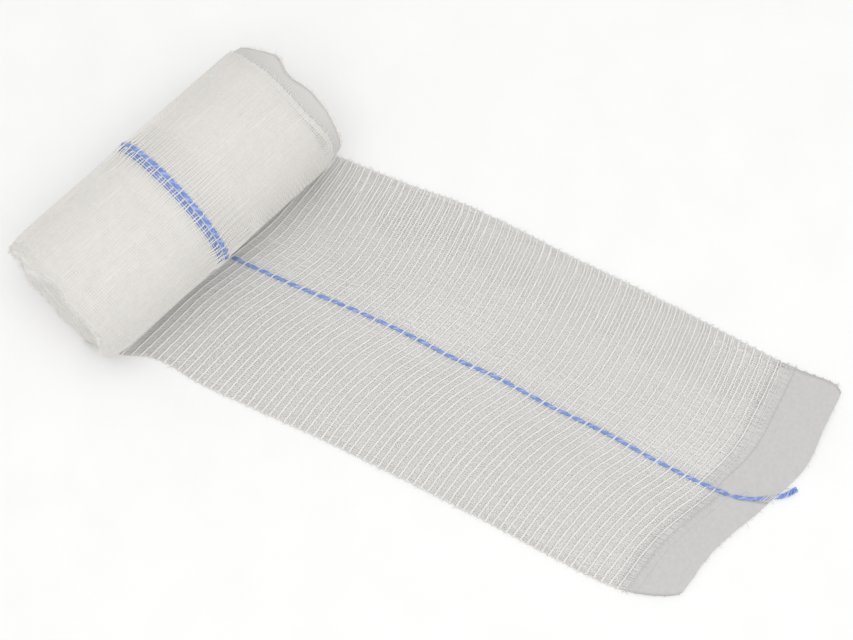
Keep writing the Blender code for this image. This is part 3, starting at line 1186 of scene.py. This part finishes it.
def add_closed_end(threads, wefts, side, slot):
    """The closed, smooth last stretch, which rises over the weave from under a weft. It is partly real
    and partly painted shade: where it starts under the weave, its grey stands for the shaded table in the
    gaps.
    """
    shares = np.linspace(0.0, 1.0, CLOSED_SHEET_STEPS)
    across = shares if side == 0 else 1.0 + shares
    first = wefts[closing(side, wefts) > CLOSED_SHEET_AT].min()
    steps = 1.0 - np.linspace(1.0, 0.0, CLOSED_SHEET_STEPS)[:, None] ** CLOSED_SHEET_CROWDING
    distance = first + (TAIL_END - CLOSED_SHEET_SHORT - first) * steps
    distance, across = np.broadcast_arrays(distance, across[None, :])
    normals = band_normals(distance, across)
    closed = closing(side, distance)
    rise = (CLOSED_SHEET_HIGH - CLOSED_SHEET_LOW) * closed[..., None]
    middle = band_points(distance, across) + normals * (CLOSED_SHEET_LOW + rise)
    # painted shade: the sheet starts mostly darkened and darkens fully as the weave closes up
    tone = CLOSED_SHEET_PAINTED_SHADE + (1.0 - CLOSED_SHEET_PAINTED_SHADE) * closed_shade_share(closed)
    threads.add_sheet(middle, normals, CLOSED_SHEET_THICKNESS, slot, tone)


def add_fray(threads, slot):
    """White yarns of the cut end that lie over the marker's loose end."""
    chance = np.random.default_rng(FRAY_SEED)
    points = np.array(MARKER_LOOSE_END)
    t = np.linspace(-1.0, 1.0, FRAY_POINTS)
    arch = MARKER_LOOSE_END[0][2] + FRAY_ARCH - FRAY_ARCH * t * t
    for x in FRAY_PLACES:
        y = float(np.interp(x, points[:, 0], points[:, 1]))
        length = chance.uniform(*FRAY_LENGTH)
        lean = FRAY_LEAN + chance.uniform(-FRAY_LEAN_SPREAD, FRAY_LEAN_SPREAD)
        path = np.stack((x + lean * length * t, y + length * t, arch), -1)
        normals = np.tile((0.0, 0.0, 1.0), (len(t), 1))
        threads.add(path, normals, CUT_WEFT_RADIUS * chance.uniform(*FRAY_THICKNESS), slot)


def add_crease_wefts(threads, wefts, slot):
    """Short extra wefts by the far edge, where a soft crease doubles the weave."""
    chance = np.random.default_rng(CREASE_SEED)
    places = (wefts[:-1] + wefts[1:]) / 2.0
    height = np.where(np.arange(CREASE_POINTS) % 2 == 0, *CREASE_HEIGHTS)
    for place in places[closing(1, places) < CREASE_FADES_AT]:
        start = chance.uniform(*CREASE_FROM)
        across = np.linspace(start, EDGES[1], CREASE_POINTS)
        slant = chance.uniform(*CREASE_SLANT)
        distance = place + slant * (across - start) / (EDGES[1] - start)
        distance = distance + chance.normal(0.0, CREASE_JITTER, CREASE_POINTS)
        threads.add(*woven_path(distance, across, height), CREASE_WEFT_RADIUS, slot)


def tail_weave(weft_yarn, warp_yarn, tail_wefts, sides):
    """The free tail, woven yarn by yarn on each side of the marker thread."""
    for side, name in enumerate(("tail_gauze_near", "tail_gauze_far")):
        threads = ThreadMesh()
        add_wefts(threads, tail_wefts, 0, side, sides[side], 0)
        add_warps(threads, tail_wefts, 0, side, sides[side], 1)
        add_closed_end(threads, tail_wefts, side, 0)
        edge_fibres(threads, side, 1)
        if side == 1:
            add_crease_wefts(threads, tail_wefts, 0)
            add_fray(threads, 0)
        piece = finished(threads.build(name, (weft_yarn, warp_yarn)))
        if side == 0:
            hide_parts("gauze_band")


def turn_weave(weft_yarn, warp_yarn, wefts, first_index, sides, name):
    """One turn round the roll, woven yarn by yarn."""
    threads = ThreadMesh()
    for side in (0, 1):
        add_wefts(threads, wefts[1:], first_index + 1, side, sides[side], 0, ROLL_SLACK)
        add_warps(threads, wefts, first_index, side, sides[side], 1, WARP_WAVE_ON_ROLL, ROLL_WARP_RADIUS)
    piece = finished(threads.build(name, (weft_yarn, warp_yarn)))


def marker_threads(yarns, tail_wefts, roll_wefts):
    """The blue thread on the tail, and round the roll with the inner turns' threads by it."""
    on_tail = ThreadMesh()
    add_marker(on_tail, tail_wefts, 0, MARKER_RADIUS, MARKER_WAVE, loose=True)
    piece = finished(on_tail.build("marker_on_tail", yarns))
    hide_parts("marker_thread_tail")
    on_roll = ThreadMesh()
    add_marker(on_roll, roll_wefts, len(tail_wefts), MARKER_RADIUS_ON_ROLL, MARKER_WAVE_ON_ROLL)
    halves = np.linspace(0.0, len(roll_wefts) - 1.0, 2 * len(roll_wefts) - 1)
    denser = np.interp(halves, np.arange(len(roll_wefts)), roll_wefts)
    for aside, depth, radius, phase in INNER_MARKERS:
        shifted = denser[1:] + WEFT_PITCH_ROLL * phase
        # painted shade: the inner threads take the darker blue in every ply, for lying under the outer
        # turn
        add_marker(on_roll, shifted, 1, radius, INNER_MARKER_WAVE, aside, depth, pale=0)
    piece = finished(on_roll.build("marker_on_roll", yarns))
    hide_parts("marker_thread_roll")


def woven_pieces(yarns, marker_yarns):
    """All the pieces, which share the places of their yarns."""
    tail_wefts, roll_wefts = weft_places()
    sides = warp_places()
    tail_weave(yarns["tail_weft"], yarns["tail_warp_shaded"], tail_wefts, sides)
    outer = np.concatenate((tail_wefts[-1:], roll_wefts))
    rolled = (yarns["roll_weft"], yarns["roll_warp"])
    turn_weave(*rolled, outer, len(tail_wefts) - 1, sides, "outer_turn_gauze")
    marker_threads(marker_yarns, tail_wefts, roll_wefts)
    wound_layers(yarns["layered"], yarns["roll_weft"], roll_wefts, sides)


def add_end_face(threads, near_end, slot):
    """The soft, crumpled mass of yarn between the rims of the turns, at one end."""
    angle = np.linspace(0.0, FULL_TURN, END_FACE_STEPS[0])[None, :]
    outside = OUTER_TURN_RADIUS - END_FACE_INSIDE * LAYER_PITCH
    radius = np.linspace(CORE_RADIUS * END_FACE_CORE, outside, END_FACE_STEPS[1])[:, None]
    near, far = rims(angle + 2.0 * FULL_TURN, radius)
    near_before, far_before = rims(angle + FULL_TURN, radius)
    joining = ease((angle - FULL_TURN) / END_FACE_JOINING + 1.0)
    near = near + (near_before - near) * joining
    far = far + (far_before - far) * joining
    side = -(near - END_DEPTH) if near_end else far - END_DEPTH
    turned = angle[:, ::-1] if near_end else angle
    side = side[:, ::-1] if near_end else side
    middle = wound_points(turned, radius, side)
    normals = np.zeros_like(middle)
    normals[..., 1] = -1.0 if near_end else 1.0
    threads.add_sheet(middle, normals, LAYER_THICKNESS, slot)


def wound_sheet(material):
    """The turns below the outermost, one sheet wound down to the core, and its length."""
    start_radius = OUTER_TURN_RADIUS - LAYER_PITCH
    turns = (start_radius - CORE_RADIUS) / LAYER_PITCH
    count = int(turns * LAYER_FACETS)
    angle = (FULL_TURN + np.arange(count + 1) * FULL_TURN / LAYER_FACETS)[:, None]
    radius = turn_radius(angle)
    near, far = rims(angle, radius)
    side = -near + (near + far) * np.array(LAYER_SHARES)
    points = wound_points(angle, radius, side).reshape(-1, 3) + ROLL_PLACE
    columns = len(LAYER_SHARES)
    row = np.arange(count)[:, None] * columns
    corner = row + np.arange(columns - 1)[None, :]
    quads = np.stack((corner, corner + 1, corner + columns + 1, corner + columns), -1).reshape(-1, 4)
    mesh = bpy.data.meshes.new("wound_layers")
    mesh.from_pydata(points.tolist(), [], quads.tolist())
    run = running_total(radius[1:, 0] * FULL_TURN / LAYER_FACETS)
    along = np.repeat(run, columns)
    layer = mesh.uv_layers.new(name="thread")
    layer.data.foreach_set("uv", np.stack((along, side.reshape(-1)), -1)[quads.ravel()].ravel())
    mesh.materials.append(material)
    mesh.shade_smooth()
    obj = new_object("wound_layers", mesh)
    wall = obj.modifiers.new("wall", "SOLIDIFY")
    wall.thickness = LAYER_THICKNESS
    wall.offset = 0.0
    bpy.context.view_layer.objects.active = obj
    bpy.ops.object.modifier_apply(modifier="wall")
    return obj, float(run[-1])


def add_under_wefts(threads, roll_wefts, side, places, share, sunk, gap):
    """Wefts of a lower turn on one side, which show between the outermost turn's own."""
    wefts = roll_wefts[1:] + share * WEFT_PITCH_ROLL
    for parity in (0, 1):
        aside = -gap
        if side == 0:
            aside = gap if parity == 0 else max(gap, INNER_MARKER_SPREAD)
        start = 1.0 - aside / HALF_WIDTH
        sparse = places[1::2]
        sparse = sparse[np.abs(sparse - 1.0) > abs(start - 1.0) + UNDER_CLEARANCE]
        first = 1 + UNDER_NUMBERS * parity
        add_wefts(threads, wefts[parity::2], first, side, sparse, 0, UNDER_SLACK, sunk, start)


def wound_layers(material, weft_yarn, roll_wefts, sides):
    """The turns below the outermost with their yarns that show, soft ends and fibres."""
    obj, length = wound_sheet(material)
    threads = ThreadMesh()
    for share, sunk, gap in UNDER_WEFTS:
        for side in (0, 1):
            add_under_wefts(threads, roll_wefts, side, sides[side], share, sunk, gap)
    for near_end in (True, False):
        add_end_face(threads, near_end, 1)
    rim_fibres(threads)
    under = threads.build("under_wefts", (weft_yarn, material))
    bpy.ops.object.select_all(action="DESELECT")
    under.select_set(True)
    obj.select_set(True)
    bpy.ops.object.join()
    finished(obj)


# Table, light and camera


def stage():
    """The table."""
    bpy.ops.object.select_all(action="DESELECT")
    bpy.ops.mesh.primitive_plane_add(size=TABLE_SIZE, location=(0.0, 0.0, 0.0))
    table = bpy.context.object
    table.name = "table"
    table.data.materials.append(floor_material())


def lights():
    """An even white room and one broad soft lamp overhead."""
    bpy.context.scene.view_settings.view_transform = "Standard"
    world = bpy.data.worlds.new("studio")
    bpy.context.scene.world = world
    world.use_nodes = True
    background = world.node_tree.nodes["Background"]
    background.inputs["Color"].default_value = (1.0, 1.0, 1.0, 1.0)
    background.inputs["Strength"].default_value = ROOM_STRENGTH
    lamp = bpy.data.lights.new("overhead", "AREA")
    lamp.shape = "SQUARE"
    lamp.size = LAMP_SIZE
    lamp.energy = LAMP_POWER
    overhead = new_object("overhead", lamp)
    overhead.location = LAMP_PLACE
    overhead.rotation_euler = overhead.location.to_track_quat("Z", "Y").to_euler()


def camera():
    """The camera at the photo's angle."""
    level = math.cos(VIEW_ELEVATION)
    sideways = math.sin(VIEW_AZIMUTH) * level
    back = Vector((sideways, -math.cos(VIEW_AZIMUTH) * level, math.sin(VIEW_ELEVATION)))
    data = bpy.data.cameras.new("view")
    data.lens = LENS_MM
    data.sensor_width = SENSOR_MM
    data.sensor_fit = "HORIZONTAL"
    eye = new_object("view", data)
    eye.location = Vector(ROLL_PLACE) + VIEW_TARGET + back * VIEW_DISTANCE
    eye.rotation_euler = back.to_track_quat("Z", "Y").to_euler()
    bpy.context.scene.camera = eye


camera()
stage()
lights()
gauze_yarns = {}
for yarn, tones in YARN_TONES.items():
    gauze_yarns[yarn] = yarn_material(yarn + "_yarn", *tones, painted_closed_shade=yarn.startswith("tail"))
gauze_yarns["layered"] = layered_gauze_material("layered_gauze")
marker_yarns = [yarn_material(name, *tones, MARKER_SHEEN) for name, tones in MARKER_TONES.items()]
woven_pieces(gauze_yarns, marker_yarns)
